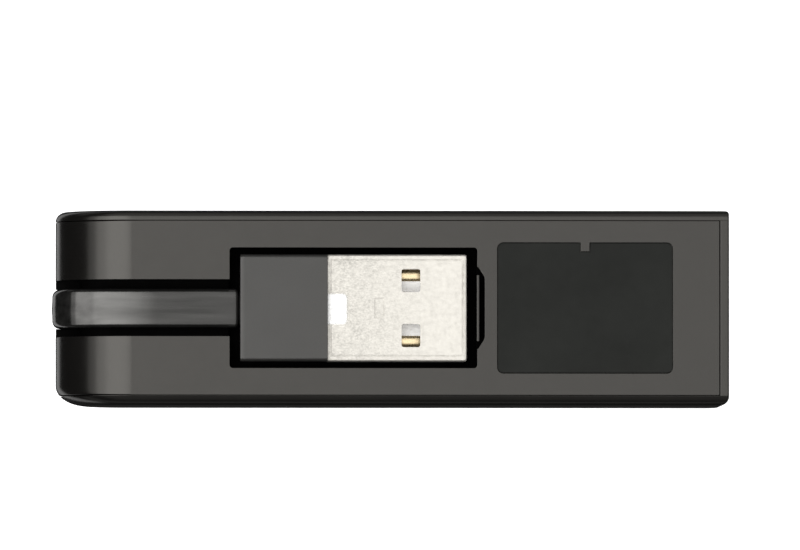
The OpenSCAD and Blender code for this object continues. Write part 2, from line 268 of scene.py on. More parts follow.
def combine(mesh, others, operation):
    """Boolean of a mesh with each of the others in turn."""
    for other in others:
        tool = bpy.data.objects.new("tool", tidy(other))
        scene.collection.objects.link(tool)

        def add(obj):
            modifier = obj.modifiers.new("boolean", "BOOLEAN")
            modifier.object = tool
            modifier.operation = operation
            modifier.solver = "EXACT"

        mesh = evaluated(tidy(mesh), add)
        bpy.data.objects.remove(tool)
    return mesh


def flat_dissolve(mesh):
    """Joins faces that lie in one plane, so that edges can be rounded cleanly."""
    bm = bmesh.new()
    bm.from_mesh(mesh)
    bmesh.ops.remove_doubles(bm, verts=bm.verts, dist=1e-4)
    bmesh.ops.dissolve_limit(bm, angle_limit=math.radians(0.5), verts=bm.verts, edges=bm.edges)
    bm.to_mesh(mesh)
    bm.free()
    return mesh


def soften(mesh, width, angle=35):
    """Rounds the mesh's edges that are sharper than an angle."""

    def add(obj):
        modifier = obj.modifiers.new("bevel", "BEVEL")
        modifier.width = width
        modifier.segments = 2
        modifier.limit_method = "ANGLE"
        modifier.angle_limit = math.radians(angle)
        modifier.use_clamp_overlap = True

    return evaluated(mesh, add)


def slice_mesh(mesh, cuts, axis):
    """Cuts the mesh's faces at places along one axis, so that it can bend."""
    bm = bmesh.new()
    bm.from_mesh(mesh)
    for cut in cuts:
        point, normal = Vector((0, 0, 0)), Vector((0, 0, 0))
        point[axis], normal[axis] = cut, 1
        geometry = list(bm.verts) + list(bm.edges) + list(bm.faces)
        bmesh.ops.bisect_plane(bm, geom=geometry, plane_co=point, plane_no=normal, dist=1e-5)
    bm.to_mesh(mesh)
    bm.free()
    return mesh


def finish_piece(
    name,
    mesh,
    material,
    body=None,
    replaces=(),
    smooth_angle=32,
    merge=1e-4,
    second=None,
):
    """Turns a mesh in millimetres, with u along x, into a named piece in the shared frame.

    The faces whose material index is 1 get the second material.
    """
    tidy(mesh, merge)
    for v in mesh.vertices:
        v.co = place(*v.co)
    mesh.name = name
    if not second:
        mesh.materials.clear()
    for each in filter(None, (material, second)):
        mesh.materials.append(each)
    mesh.shade_smooth()
    mesh.set_sharp_from_angle(angle=math.radians(smooth_angle))
    mesh.update()
    obj = bpy.data.objects.new(name, mesh)
    scene.collection.objects.link(obj)
    weighted = obj.modifiers.new("weighted_normals", "WEIGHTED_NORMAL")
    weighted.keep_sharp = True
    weighted.weight = 100
    if body:
        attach(obj, body)
    if replaces:
        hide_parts(*replaces)
    return obj


# ---------- camera, light and floor ----------

# The photo's view: its width and centre in millimetres, the camera's distance in metres, and how
# far the camera is turned about the length of the case (tilt) and across it (lean)
VIEW_W = 90.4
VIEW_CENTRE = Vector((0.985, 3.71, CASE_T)) * MM
VIEW_DISTANCE = 2.5
VIEW_TILT = math.radians(1.6)
VIEW_LEAN = math.radians(2.0)

# (name, first and last angle from overhead in degrees, brightness) of the panels over the object
PANELS = (
    ("overhead", -4.5, 44, 1.95),
    ("left_upper", -40, -4.5, 3.9),
    ("left_middle", -56, -40, 2.8),
    ("left_lower", -70, -56, 1.0),
)

# (name, place and size in metres, brightness) of the lights round the object. The bounce lights
# lie below the floor, which lets them through. They stand for the light that a table reflects.
BOUNCE_SIZE = (2.6, 0.34)
LIGHTS = (
    ("front_upper", (0, -0.72, 0.69), (1.4, 0.7), 0.22),
    ("back_upper", (0, 0.72, 0.69), (1.4, 0.7), 0.6),
    ("front_fill", (0.2, -1.1, 0.35), (1.4, 0.35), 0.12),
    ("back_fill", (0.2, 1.1, 0.35), (1.4, 0.35), 0.3),
    ("end_fill", (1.2, 0.0, 0.3), (0.8, 0.3), 2.0),
    ("front_bounce", (0, -1, -0.3), BOUNCE_SIZE, 0.2),
    ("back_bounce", (0, 1, -0.3), BOUNCE_SIZE, 0.3),
    ("port_bounce", (1, 0, -0.3), BOUNCE_SIZE, 1.0),
    ("tip_bounce", (-0.5, 0, -0.87), BOUNCE_SIZE, 0.65),
)


def make_camera():
    """Camera that looks at the stowage face as the photo does."""
    data = bpy.data.cameras.new("camera")
    data.sensor_width = 36
    data.lens = data.sensor_width * VIEW_DISTANCE / (VIEW_W * MM)
    data.clip_start, data.clip_end = 0.01, 10
    camera = bpy.data.objects.new("camera", data)
    turn = Euler((VIEW_TILT, -VIEW_LEAN, 0))
    camera.location = VIEW_CENTRE + turn.to_matrix() @ Vector((0, 0, VIEW_DISTANCE))
    camera.rotation_euler = turn
    scene.collection.objects.link(camera)
    scene.camera = camera


def make_light(name, place_m, size, brightness):
    """A soft rectangular light that faces the object and isn't seen itself."""
    data = bpy.data.lights.new(name, "AREA")
    data.shape = "RECTANGLE"
    data.size, data.size_y = size
    data.energy = brightness * math.pi * size[0] * size[1]
    light = bpy.data.objects.new(name, data)
    light.location = place_m
    light.rotation_euler = (-Vector(place_m)).to_track_quat("-Z", "Y").to_euler()
    light.visible_camera = False
    scene.collection.objects.link(light)


def make_panel(name, start, end, brightness):
    """A panel 1 m from the object, between two angles from overhead, right of it positive."""
    middle, half = math.radians((start + end) / 2), math.radians((end - start) / 2)
    direction = (math.sin(middle), 0, math.cos(middle))
    make_light(name, direction, (0.9, 2 * math.tan(half)), brightness)


def make_studio():
    """Faint light from all round, the panels and lights, and plain colours."""
    world = bpy.data.worlds.new("studio")
    world.use_nodes = True
    background = world.node_tree.nodes["Background"]
    background.inputs["Color"].default_value = (1, 1, 1, 1)
    background.inputs["Strength"].default_value = 0.02
    scene.world = world
    for panel in PANELS:
        make_panel(*panel)
    for light in LIGHTS:
        make_light(*light)
    scene.view_settings.view_transform = "Standard"
    scene.view_settings.look = "None"


def make_floor():
    """Plain pale floor, which takes no part in reflections."""
    half = 3.0
    corners = [(-half, -half, 0), (half, -half, 0), (half, half, 0), (-half, half, 0)]
    floor = bpy.data.objects.new("floor", new_mesh("floor", corners, [(0, 1, 2, 3)]))
    floor.location.z = -0.0002
    scene.collection.objects.link(floor)
    material = bpy.data.materials.new("floor_paper")
    material.use_nodes = True
    shader = material.node_tree.nodes["Principled BSDF"]
    shader.inputs["Base Color"].default_value = (0.9, 0.9, 0.9, 1)
    shader.inputs["Roughness"].default_value = 0.9
    shader.inputs["Emission Color"].default_value = (1, 1, 1, 1)
    shader.inputs["Emission Strength"].default_value = 0.75
    floor.data.materials.append(material)
    floor.visible_glossy = False
    floor.visible_diffuse = False
    floor.visible_shadow = False


make_camera()
make_studio()
make_floor()


# ---------- materials ----------


class Shader:
    """A Principled material with helpers for procedural detail in object space."""

    def __init__(self, name, roughness, metallic=0.0, specular=0.5):
        self.material = bpy.data.materials.new(name)
        self.material.use_nodes = True
        self.tree = self.material.node_tree
        self.principled = self.tree.nodes["Principled BSDF"]
        self.principled.inputs["Roughness"].default_value = roughness
        self.principled.inputs["Metallic"].default_value = metallic
        self.principled.inputs["Specular IOR Level"].default_value = specular
        self.coordinates = self.tree.nodes.new("ShaderNodeTexCoord").outputs["Object"]

    def link(self, a, b):
        """Joins an output to an input."""
        self.tree.links.new(a, b)

    def noise(self, size_mm, detail=2.0, rough=0.5, stretch=None):
        """Noise whose features are about size_mm across."""
        node = self.tree.nodes.new("ShaderNodeTexNoise")
        node.inputs["Scale"].default_value = 1 / (size_mm * MM)
        node.inputs["Detail"].default_value = detail
        node.inputs["Roughness"].default_value = rough
        vector = self.coordinates
        if stretch:
            mapping = self.tree.nodes.new("ShaderNodeMapping")
            mapping.inputs["Scale"].default_value = stretch
            self.link(self.coordinates, mapping.inputs["Vector"])
            vector = mapping.outputs["Vector"]
        self.link(vector, node.inputs["Vector"])
        return node.outputs["Fac"]

    def cells(self, size_mm):
        """Distance to the nearest of scattered points about size_mm apart."""
        node = self.tree.nodes.new("ShaderNodeTexVoronoi")
        node.inputs["Scale"].default_value = 1 / (size_mm * MM)
        self.link(self.coordinates, node.inputs["Vector"])
        return node.outputs["Distance"]

    def ramp(self, value, stops):
        """Colour ramp with stops of (place, colour)."""
        node = self.tree.nodes.new("ShaderNodeValToRGB")
        elements = node.color_ramp.elements
        for element, (where, colour) in zip(elements, stops):
            element.position = where
            element.color = (*colour, 1)
        self.link(value, node.inputs["Fac"])
        return node.outputs["Color"]

    def mixed(self, share, a, b):
        """The colour a with a share of b, each a number, a colour or an output."""
        node = self.tree.nodes.new("ShaderNodeMix")
        node.data_type = "RGBA"
        sockets = {s.identifier: s for s in node.inputs}
        for key, value in (("Factor_Float", share), ("A_Color", a), ("B_Color", b)):
            if isinstance(value, (int, float)):
                sockets[key].default_value = value
            elif isinstance(value, tuple):
                sockets[key].default_value = (*value, 1)
            else:
                self.link(value, sockets[key])
        return next(s for s in node.outputs if s.identifier == "Result_Color")

    def spread(self, value, low, high, start=0.3, end=0.7):
        """A value stretched from start..end to low..high."""
        node = self.tree.nodes.new("ShaderNodeMapRange")
        node.inputs["From Min"].default_value = start
        node.inputs["From Max"].default_value = end
        node.inputs["To Min"].default_value = low
        node.inputs["To Max"].default_value = high
        self.link(value, node.inputs["Value"])
        return node.outputs["Result"]

    def along_case(self, start_u, end_u, low, high):
        """A value that goes from low to high between two places along the case."""
        axes = self.tree.nodes.new("ShaderNodeSeparateXYZ")
        self.link(self.coordinates, axes.inputs["Vector"])
        start, end = (LEFT + start_u) * MM, (LEFT + end_u) * MM
        return self.spread(axes.outputs["X"], low, high, start, end)

    def product(self, a, b):
        """Two values multiplied."""
        node = self.tree.nodes.new("ShaderNodeMath")
        node.operation = "MULTIPLY"
        self.link(a, node.inputs[0])
        self.link(b, node.inputs[1])
        return node.outputs["Value"]

    def colour(self, output):
        """Base colour from an output."""
        self.link(output, self.principled.inputs["Base Color"])

    def roughness(self, output):
        """Roughness from an output."""
        self.link(output, self.principled.inputs["Roughness"])

    def bump(self, output, height_mm):
        """Bump of a height in millimetres."""
        node = self.tree.nodes.new("ShaderNodeBump")
        node.inputs["Strength"].default_value = 1.0
        node.inputs["Distance"].default_value = height_mm * MM
        self.link(output, node.inputs["Height"])
        self.link(node.outputs["Normal"], self.principled.inputs["Normal"])


def scaled(colour, factor):
    """A colour made lighter or darker by a factor."""
    return tuple(c * factor for c in colour)


def plastic(
    name,
    colour,
    roughness,
    grain_mm=0.16,
    grain_height=0.004,
    specular=0.5,
    spread=0.25,
    gloss=(1, 1, 1),
    painted_glow=0,
):
    """Moulded plastic: spark-eroded grain, faint cloudy colour, and uneven gloss.

    Spread is how far the colour varies, and gloss is the tint of the reflection. The glow is
    painted light: an even emission that brightens a pale part which lies in shade.
    """
    s = Shader(name, roughness, specular=specular)
    s.principled.inputs["Specular Tint"].default_value = (*gloss, 1)
    s.principled.inputs["Emission Color"].default_value = (1, 0.98, 0.94, 1)
    s.principled.inputs["Emission Strength"].default_value = painted_glow
    cloud = s.noise(9, 3)
    fine = s.noise(grain_mm, 3, 0.6)
    tint = s.ramp(cloud, [(0.3, scaled(colour, 1 - spread)), (0.7, scaled(colour, 1 + spread))])
    speck = s.ramp(fine, [(0.35, scaled(colour, 0.6)), (0.65, scaled(colour, 1.5))])
    s.colour(s.mixed(0.4, tint, speck))
    s.roughness(s.spread(s.noise(1.7, 4, 0.6), roughness * 0.88, roughness * 1.12))
    s.bump(fine, grain_height)
    return s.material


def metal(name, colour, roughness, streak, grain_mm, dark=0.7, metallic=1.0, fade=None):
    """Plated metal: mottled crystals, rolling streaks and uneven gloss.

    Dark is how much of its brightness the mottling keeps. With fade, two places in u, the
    mottling weakens from the first to the second.
    """
    s = Shader(name, roughness, metallic=metallic)
    mottle = s.noise(grain_mm, 4, 0.65, streak)
    base = s.ramp(mottle, [(0.32, scaled(colour, dark)), (0.62, colour)])
    pit_stops = [(0.06, scaled(colour, dark * 0.8)), (0.2, scaled(colour, 1.06))]
    pits = s.ramp(s.cells(grain_mm * 2.2), pit_stops)
    base = s.mixed(s.spread(s.noise(grain_mm * 9, 2), 0.1, 0.5), base, pits)
    if fade:
        base = s.mixed(s.along_case(*fade, 0, 0.85), base, colour)
    s.colour(base)
    s.roughness(s.spread(s.noise(grain_mm * 3, 3), roughness * 0.8, roughness * 1.25))
    s.bump(mottle, 0.0015)
    return s.material


def lens_material():
    """Frosted clear plastic."""
    s = Shader("lens_clear", 0.25)
    s.principled.inputs["Transmission Weight"].default_value = 0.6
    s.principled.inputs["IOR"].default_value = 1.49
    s.colour(s.ramp(s.noise(0.6, 3), [(0.3, (0.75, 0.8, 0.76)), (0.7, (0.9, 0.93, 0.9))]))
    s.bump(s.noise(0.25, 3), 0.004)
    return s.material


def jacket_material():
    """The lead's jacket: a painted sheen, stronger where it bends and weaker beyond, and streaks
    along its length.
    """
    s = Shader("lead_jacket", 0.16)
    s.principled.inputs["Specular Tint"].default_value = (1, 0.985, 0.95, 1)
    streaks = s.noise(0.9, 2, 0.5, (0.07, 1, 1))
    s.colour(s.ramp(streaks, [(0.3, (0.005, 0.005, 0.0047)), (0.7, (0.015, 0.0148, 0.0141))]))
    # Painted sheen: the reflection is made stronger near the bend than beyond it, for a brighter
    # highlight there
    painted_sheen = s.along_case(6.5, 9.8, 0.8, 0.46)
    sheen_and_streaks = s.product(painted_sheen, s.spread(streaks, 0.84, 1.16))
    s.link(sheen_and_streaks, s.principled.inputs["Specular IOR Level"])
    s.roughness(s.spread(s.noise(1.7, 4, 0.6), 0.14, 0.18))
    s.bump(s.noise(0.5, 3, 0.6), 0.0006)
    return s.material


CASE_BLACK = (0.006, 0.0056, 0.0052)
WARM = (1.0, 0.965, 0.90)
case_dark = plastic("case_dark", CASE_BLACK, 0.22, 0.14, 0.0012, gloss=WARM)
case_side = plastic("case_side", CASE_BLACK, 0.4, 0.14, 0.0012, specular=1.0, gloss=WARM)
case_plate = plastic("case_plate", CASE_BLACK, 0.22, 0.16, 0.0012, gloss=WARM)
# Painted shade: a darker, barely reflective copy of the case plastic for faces deep in the slot,
# pocket and notch, and for the nose and shoulders in the groove
case_recess_shade = plastic("case_recess_shade", (0.0025, 0.0024, 0.0023), 0.8, 0.2, specular=0.03)
label_film = plastic(
    "label_film",
    (0.0062, 0.0066, 0.0060),
    0.42,
    0.10,
    0.002,
    specular=0.13,
    spread=0.5,
    gloss=(0.98, 1, 0.94),
)
port_plastic = plastic("port_plastic", (0.010, 0.010, 0.010), 0.45, 0.20)
lead_core = plastic("lead_core", (0.004, 0.004, 0.004), 0.7, 0.2, specular=0.1)
overmould_skin = plastic(
    "overmould_skin",
    (0.0175, 0.0172, 0.0163),
    0.32,
    0.13,
    specular=0.48,
    spread=0.3,
    gloss=(1, 0.985, 0.95),
)
# The insulator glows with painted light, which brightens it where it lies in shade inside the
# shell's windows
insulator_nylon = plastic(
    "insulator_nylon", (0.95, 0.935, 0.91), 0.45, 0.25, 0.002, spread=0.03, painted_glow=0.13
)
lock_nylon = plastic("lock_nylon", (0.97, 0.97, 0.95), 0.5, 0.25, 0.001, spread=0.01)
ceramic = plastic("ceramic", (0.45, 0.34, 0.22), 0.5, 0.1, 0.003)
chip_black = plastic("chip_black", (0.02, 0.02, 0.021), 0.5, 0.07)
board_green = plastic("board_green", (0.012, 0.11, 0.045), 0.3, 0.5, 0.006)
wire_red = plastic("wire_red", (0.36, 0.03, 0.02), 0.35, 0.3, 0.002)
plug_tin = metal(
    "plug_tin",
    (0.515, 0.495, 0.452),
    0.42,
    (0.7, 1, 1),
    0.16,
    dark=0.5,
    metallic=0.65,
    fade=(33, 43),
)
gold_flash = metal("gold_flash", (0.6, 0.49, 0.31), 0.25, (0.3, 1, 1), 0.1)
screw_zinc = metal("screw_zinc", (0.58, 0.59, 0.6), 0.3, (1, 1, 1), 0.12)
lens_clear = lens_material()
lead_jacket = jacket_material()


# ---------- case ----------

# Steps round the half round end in the side walls and in the cover, and round the long edges
TIP_STEPS = 40
COVER_STEPS = 48
EDGE_STEPS = 9

# Parts of the side profile. Round the half round end the part is a share, from 0 at the stowage
# face to 1 at the tip and on to 2 at the back face.
FACE, TIP, BACK_FACE, BACK, PORT_END = 0, 1, 2, 3, 4

# (extent inwards, extent across) of the rounding between a side wall and the profile, at the
# stowage face, the tip and the port end, for the +Y and the -Y side, and along the back
EDGE_SIZES = {
    1: ((0.8, 0.8), (1.2, 1.07), (0.4, 0.4)),
    -1: ((1.6, 1.3), (3.6, 2.3), (1.0, 1.0)),
}
BACK_EDGE = (2.0, 2.0)

# Places across the cover where it is cut, so that it follows the rounding of its -Y edge
ROUNDING_CUTS = (-8.75, -8.95, -9.15, -9.35, -9.55, -9.7)

# Side of the fingernail notch as (u, y), from its wide mouth at the pocket to its end
NOTCH_SIDE = ((47.6, 4.62), (47.8, 4.35), (48.02, 3.98), (48.2, 3.72), (48.3, 3.5), (48.35, 3.2))

# The low wall that is left between the pocket and the notch: how deep its top lies, where it ends
# along the case, and the gap at each end of it as (end along the case, two places across)
LOW_WALL_DEPTH = 1.1
LOW_WALL_END_U = 47.77
LOW_WALL_GAP = (47.9, 3.75, 4.75)

# How deep the cheeks beside the lead reach, and where ribs start inside the plate
CHEEK_DEPTH = 7.6
IN_PLATE = 0.7


def case_path():
    """Side profile of the case as (u, z, outward u, outward z, part), once round."""
    points = []
    for i in range(TIP_STEPS + 1):
        a = math.pi * i / TIP_STEPS
        out_u, out_z = -math.sin(a), math.cos(a)
        u, z = END_R + END_R * out_u, END_R + END_R * out_z
        points.append((u, z, out_u, out_z, 2 * i / TIP_STEPS))
    for u in (20, 40, 60):
        points.append((u, 0, 0, -1, BACK))
    for r, centre_z, start, steps in ((1.2, 1.2, -90, 6), (0.25, CASE_T - 0.25, 0, 5)):
        for u, z in arc(CASE_L - r, centre_z, r, start, start + 90, steps):
            points.append((u, z, (u - CASE_L + r) / r, (z - centre_z) / r, PORT_END))
    for u in (60, 40, 20):
        points.append((u, CASE_T, 0, 1, FACE))
    return points


def corner_size(part, side):
    """(extent inwards, extent across) of the rounding at a part of the profile."""
    face, tip, end = EDGE_SIZES[1 if side > 0 else -1]
    if part > BACK_FACE:
        return BACK_EDGE if part == BACK else end
    first, last, start = (face, tip, 0.1) if part <= TIP else (tip, BACK_EDGE, 1.1)
    t = smooth_step((part - start) / 0.8)
    return tuple(a + (b - a) * t for a, b in zip(first, last))


def drop(y, deep, across):
    """How far the rounding takes the surface back, at a distance y from the middle."""
    t = min(1, max(0, (y - HALF_W + across) / across))
    return deep * (1 - math.sqrt(1 - t * t))


def wall_line(point, side):
    """One cross line of a side wall, from its inner face over the edge to its outer face."""
    u, z, out_u, out_z, part = point
    at_port = part == PORT_END
    up = 1 if z > END_R else -1
    deep, across = corner_size((FACE if up > 0 else BACK) if at_port else part, side)
    inner, start = HALF_W - RIM_W, HALF_W - across
    # The bevel of the rim's inner edge, which ends shortly before the back face
    bevel = 0.02 if part < 1.75 else 0.0
    if part < 0.6 or (at_port and out_z > 0.9):
        bevel = 0.05
    first = math.asin(max(0, min(1, (inner + bevel - start) / across)))
    places = [(inner, bevel), (inner + bevel * 0.3, bevel * 0.3), (inner + bevel, 0.0)]
    for i in range(EDGE_STEPS + 1):
        angle = first + (math.pi / 2 - first) * i / EDGE_STEPS
        places.append((start + across * math.sin(angle), 0.0))
    line = []
    for y, extra in places:
        back = drop(y, deep, across) + extra
        if at_port:
            line.append((u - drop(y, *corner_size(PORT_END, side)), side * y, z - up * back))
        else:
            line.append((u - out_u * back, side * y, z - out_z * back))
    return line


def side_wall(side):
    """One side wall of the case, with the rim beside the cover."""
    lines = [wall_line(point, side) for point in case_path()]
    return new_mesh("wall", *loft(list(zip(*lines))))


def middle_section():
    """The floor and the port end wall between the two side walls."""
    path = case_path()
    floor_end = END_R - math.sqrt(END_R**2 - (END_R - FLOOR_T) ** 2)
    wedge = [p[:2] for p in path if TIP < p[4] <= BACK_FACE and p[1] < FLOOR_T]
    outer = [p[:2] for p in path if p[4] in (BACK, PORT_END)]
    u = CASE_L - PORT_WALL
    inner = [(u + 0.07, CASE_T), (u + 0.02, CASE_T - 0.02), (u, CASE_T - 0.07), (u, FLOOR_T)]
    half = HALF_W - RIM_W
    section = [(floor_end, FLOOR_T)] + wedge + outer + inner
    return new_mesh("middle", *crosswise(section, -half, half))


def port_outline(grow, r):
    """Outline of the port in y and z, larger all round."""
    half_w, half_h = PORT_HALF_W + grow, PORT_HALF_H + grow
    return rounded(-half_w, half_w, PORT_Z - half_h, PORT_Z + half_h, r)


def build_shell():
    """The back shell, with openings for the port and the status light."""
    mesh = combine(side_wall(1), [side_wall(-1), middle_section()], "UNION")
    openings = [
        along_u(port_outline(BEZEL_T, 0.6), CASE_L - 2, CASE_L + 1),
        box_mesh(*LENS_U, -LENS_HALF_W, LENS_HALF_W, -1, FLOOR_T + 0.5, 0.3),
    ]
    mesh = combine(mesh, openings, "DIFFERENCE")
    tidy(mesh)
    for face in mesh.polygons:
        x, y, z = face.center
        outside = abs(y) > HALF_W - 0.01 or z < 0.01 or x > CASE_L - 0.01
        inside = abs(y) < HALF_W - RIM_W + 0.01 and z < CASE_T - 0.1
        face.material_index = 1 if outside or inside else 0
    finish_piece(
        "case_shell", mesh, case_dark, "case", ["back_shell"], 28, second=case_side
    )


def wrap(mesh):
    """Bends a flat mesh, with its face at z = 0, on to the case and round its half round end."""
    for v in mesh.vertices:
        s, y, z = v.co
        a = max(0, (END_R - s) / END_R)
        r = END_R + z - drop(abs(y), *corner_size(a / math.radians(90), y))
        v.co = (max(s, END_R) - r * math.sin(a), y, END_R + r * math.cos(a))
    return mesh


def notch_outline(start_u):
    """Outline of the fingernail notch beyond start_u."""
    side = [p for p in NOTCH_SIDE if p[0] > start_u + 0.01]
    return mirrored([(start_u, min(4.66, side[0][1] + 0.04))] + side)


def label_recess(gap=0.0):
    """Outline of the label recess, smaller by a gap, with its key tab in the +Y edge."""
    u0, u1 = LABEL_U[0] + gap, LABEL_U[1] - gap
    half = LABEL_HALF_W - gap
    middle = (LABEL_U[0] + LABEL_U[1]) / 2
    key = KEY_SIZE / 2 + gap
    low = LABEL_HALF_W - KEY_SIZE - gap
    r = LABEL_R - gap
    return (
        arc(u1 - r, -half + r, r, -90, 0, 6)
        + arc(u1 - r, half - r, r, 0, 90, 6)
        + [(middle + key, half), (middle + key, low), (middle - key, low), (middle - key, half)]
        + arc(u0 + r, half - r, r, 90, 180, 6)
        + arc(u0 + r, -half + r, r, 180, 270, 6)
    )


def build_cover():
    """The stowage cover, made flat with its face at z = 0 and then wrapped on to the case."""
    wrap_end = END_R - END_R * math.acos((FLOOR_T + SEAM - END_R) / END_R)
    at_tip, beyond = HALF_W - RIM_W - SEAM, HALF_W - RIM_W - SEAM_SHOWN
    edge = [(wrap_end, at_tip), (5, at_tip), (10, beyond), (COVER_END_U, beyond)]
    slot, rib, tub = SLOT_HALF_W, SLOT_HALF_W + GUIDE_WALL, POCKET_HALF_W + GUIDE_WALL
    pocket_u0, pocket_u1 = POCKET_U
    gap_u, gap_y0, gap_y1 = LOW_WALL_GAP
    rib_depth, tub_depth = SLOT_DEPTH + NOSE_WALL, POCKET_DEPTH + GUIDE_WALL
    tub_u0, tub_u1 = pocket_u0 - GUIDE_WALL, NOTCH_SIDE[-1][0] + GUIDE_WALL
    added = [
        box_mesh(wrap_end, CHEEK_END_U, -rib, rib, -CHEEK_DEPTH, -IN_PLATE),
        box_mesh(END_R, pocket_u0, -rib, rib, -rib_depth, -IN_PLATE),
        box_mesh(tub_u0, tub_u1, -tub, tub, -tub_depth, -IN_PLATE),
    ]
    cut = [
        box_mesh(wrap_end - 3, CHEEK_END_U, -slot, slot, -9, 1),
        box_mesh(9, pocket_u0 + 0.5, -slot, slot, -SLOT_DEPTH, 1),
        box_mesh(*POCKET_U, -POCKET_HALF_W, POCKET_HALF_W, -POCKET_DEPTH, 1, 0.35, 4),
        prism(notch_outline(pocket_u1 - 0.2), -LOW_WALL_DEPTH, 1.1),
        prism(notch_outline(LOW_WALL_END_U), -NOTCH_DEPTH, 1.2),
        box_mesh(pocket_u1 - 0.3, gap_u, gap_y0, gap_y1, -NOTCH_DEPTH, -1.0),
        box_mesh(pocket_u1 - 0.3, gap_u, -gap_y1, -gap_y0, -NOTCH_DEPTH, -1.0),
        prism(label_recess(), -LABEL_DEPTH, 1),
    ]
    mesh = combine(prism(mirrored(edge), -WALL, 0), added, "UNION")
    mesh = combine(mesh, cut, "DIFFERENCE")
    mesh = soften(flat_dissolve(mesh), 0.08)
    step = (END_R - wrap_end) / COVER_STEPS
    bends = [wrap_end + step * (i + 0.5) for i in range(COVER_STEPS)] + [END_R]
    mesh = slice_mesh(slice_mesh(mesh, bends, 0), ROUNDING_CUTS, 1)
    # Faces deeper than the label recess get the darker second material, painted shade; the low
    # wall's top keeps the plate's colour
    for face in mesh.polygons:
        u, _, z = face.center
        wall_top = u > pocket_u1 and abs(z + LOW_WALL_DEPTH) < 0.1
        face.material_index = 1 if z < -LABEL_DEPTH - 0.02 and not wall_top else 0
    finish_piece(
        "stowage_cover_skin",
        wrap(mesh),
        case_plate,
        "case",
        ["stowage_cover"],
        30,
        second=case_recess_shade,
    )


def build_shoulders():
    """The lower walls of the groove in the half round end, which only just clear the lead."""
    top, low, end_u = BEND_Z - 0.4, FLOOR_T + SEAM, BEND_U + 0.3
    clear = 0.02
    start, end = (180 - math.degrees(math.asin((z - END_R) / END_R)) for z in (top, low))
    section = arc(END_R, END_R, END_R - clear, start, end, 16) + [(end_u, low), (end_u, top)]
    skins = []
    for side in (-1, 1):
        skins.append(crosswise(section, side * (LEAD_HALF_W + clear), side * (SLOT_HALF_W + 0.1)))
    mesh = soften(tidy(joined("shoulders", skins)), 0.08, 50)
    # The shoulders take the darker recess material, painted shade
    finish_piece(
        "lead_groove_shoulders", mesh, case_recess_shade, "case", ["stowage_cover"]
    )


def build_nose():
    """The hollow nose that the lead bends round."""
    top, bottom, end = BEND_Z + NOSE_R, BEND_Z - NOSE_R, CHEEK_END_U
    outer = arc(BEND_U, BEND_Z, NOSE_R, 90, 270, 32)
    inner = arc(BEND_U, BEND_Z, NOSE_R - NOSE_WALL, 270, 90, 32)
    section = [(end, top - 0.02)] + outer + [(end, bottom), (end, bottom + NOSE_WALL)]
    section += inner + [(end, top - NOSE_WALL)]
    half = SLOT_HALF_W + 0.15
    mesh = new_mesh("nose", *crosswise(section, -half, half))
    # The nose takes the darker recess material, painted shade
    finish_piece("lead_nose", mesh, case_recess_shade, "case", ["stowage_cover"])


def build_label():
    """The blank film in the label recess."""
    mesh = soften(prism(label_recess(0.08), CASE_T - LABEL_DEPTH, CASE_T - 0.1), 0.04)
    finish_piece("label_film_plate", mesh, label_film, "case", ["nameplate"])


# ---------- input port ----------


def build_port():
    """Rectangular tube with a rounded rim and a lip round the front of the pin block."""
    end = CASE_L - 0.05
    lip_u = PORT_U - 0.4
    outside = BEZEL_T - SEAM
    # (u, how much larger than the port, corner radius), along the outside and back in the port
    stations = [
        (lip_u, outside, 0.5),
        (end - 0.25, outside, 0.5),
        (end - 0.06, outside - 0.07, 0.5),
        (end, outside - 0.25, 0.45),
        (end, 0.28, 0.35),
        (end - 0.08, 0.08, 0.25),
        (end - 0.35, 0.0, 0.2),
        (PORT_U, 0.0, 0.2),
    ]
    rings = [[(u, y, z) for y, z in port_outline(grow, r)] for u, grow, r in stations]
    half_w, half_h = (PIN_COLUMNS * PIN_PITCH + SEAM) / 2, (2 * PIN_PITCH + SEAM) / 2
    block_hole = rounded(-half_w, half_w, PORT_Z - half_h, PORT_Z + half_h, 0.05)
    rings += [[(u, y, z) for y, z in block_hole] for u in (PORT_U, lip_u)]
    mesh = new_mesh("bezel", *loft(rings, endless=True))
    finish_piece("port_bezel_tube", mesh, port_plastic, "case", ["port_bezel"])


def pin_places():
    """(y, z, row) of each pin, with row -1 below and row 1 above."""
    for i in range(PIN_COLUMNS):
        for row in (-1, 1):
            yield (i - (PIN_COLUMNS - 1) / 2) * PIN_PITCH, PORT_Z + row * PIN_PITCH / 2, row


def build_pin_block():
    """Block of the two rows of pins, with chamfered cells as such blocks have."""
    h = PIN_PITCH / 2
    c = h - 0.3
    cell = [(-c, -h), (c, -h), (h, -c), (h, c), (c, h), (-c, h), (-h, c), (-h, -c)]
    stations = ((PORT_U - PIN_PITCH, 1), (PORT_U - 0.08, 1), (PORT_U, 0.96))
    skins = []
    for y, z, _ in pin_places():
        skins.append(loft([[(u, y + m * k, z + n * k) for m, n in cell] for u, k in stations]))
    mesh = joined("pin_block", skins)
    finish_piece(
        "pin_block_cells", mesh, port_plastic, "case", ["pin_block"], merge=1e-6
    )


def pin_ring(u, y, z, angle, size):
    """Chamfered square section of a pin, at right angles to its course there."""
    out_u, out_z = math.cos(math.radians(angle)), math.sin(math.radians(angle))
    s, c = size, size * 0.8
    section = [(s, c), (c, s), (-c, s), (-s, c), (-s, -c), (-c, -s), (c, -s), (s, -c)]
    return [(u + out_u * n, y + m, z + out_z * n) for m, n in section]


